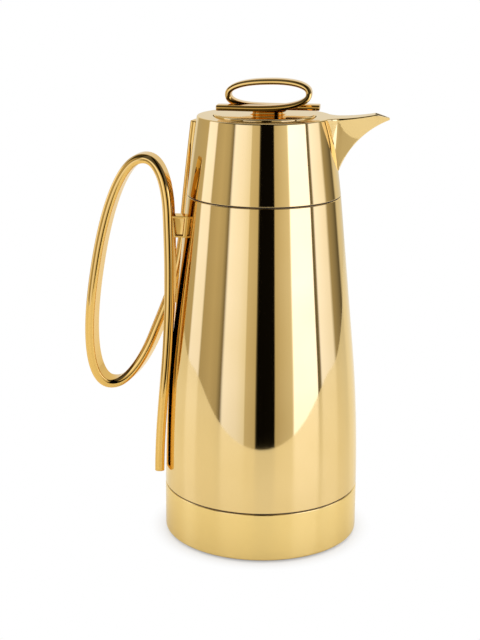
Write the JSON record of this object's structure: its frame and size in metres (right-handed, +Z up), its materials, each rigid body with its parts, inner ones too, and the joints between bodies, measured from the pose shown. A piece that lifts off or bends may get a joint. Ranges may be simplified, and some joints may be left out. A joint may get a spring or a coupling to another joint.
{
  "type": "vacuum coffee pot",
  "caption": "Tapered gold vacuum coffee pot of the dallah type with a beaked spout, a crossed ribbon-loop handle and a lift-out stopper lid that turns to pour.",
  "frame": {"origin": "middle of the foot pad's underside, on the table", "axes": "+Z up along the pot's axis, +X towards the spout, the handle on the -X side"},
  "size_m": [0.2001, 0.13, 0.3047],
  "materials": {
    "gold_shell": "mirror-polished gold coating on thin sheet metal",
    "gold_base": "softly polished gold plating on a moulded ring",
    "gold_collar": "mirror-polished gold plating on a moulded collar",
    "gold_spout": "mirror-polished gold plating on a moulded spout",
    "gold_lid": "mirror-polished gold coating on a sheet-metal disc",
    "gold_handle": "mirror-polished gold plating on a moulded ribbon",
    "foot_rubber": "matt black rubber",
    "cushion_rubber": "soft dark rubber",
    "seal_rubber": "matt dark rubber",
    "silicone": "translucent white silicone",
    "inner_plastic": "moulded black polypropylene",
    "stopper_plastic": "moulded black polypropylene",
    "stopper_foam": "cast insulating foam",
    "silvered_glass": "silvered inside its wall",
    "clear_glass": "clear glass, silvered towards the vacuum",
    "spacer_felt": "pressed fibre discs",
    "steel": "plain zinc-plated steel"
  },
  "bodies": {
    "pot": {"foot_pad": "foot_rubber", "base_ring": "gold_base", "bottom_cap": "inner_plastic", "base_seal": "seal_rubber", "collar_seal": "seal_rubber", "outer_flask": "silvered_glass", "inner_flask": "clear_glass", "flask_spacers": "spacer_felt", "flask_cushion": "cushion_rubber", "mouth_gasket": "silicone", "collar": "gold_collar", "neck_insert": "inner_plastic", "upper_lug": "gold_handle", "lower_lug": "gold_handle", "body_shell": "gold_shell", "handle_loop": "gold_handle", "handle_screws": "steel", "handle_washers": "steel", "spout": "gold_spout"},
    "lid_seal": {"stopper_seal": "silicone"},
    "lid": {"lid_plate": "gold_lid", "stopper_body": "stopper_plastic", "stopper_foam": "stopper_foam", "knob_pedestal": "gold_handle", "knob_loop": "gold_handle", "knob_screws": "steel"}
  },
  "joints": [
    {"name": "lid_lift", "type": "slide", "parent": "pot", "child": "lid_seal", "axis": [0, 0, 1], "range_m": [0, 0.09]},
    {"name": "lid_turn", "type": "hinge", "parent": "lid_seal", "child": "lid", "pos_m": [0, 0, 0.276], "axis": [0, 0, 1], "range_deg": [0, 90]}
  ]
}
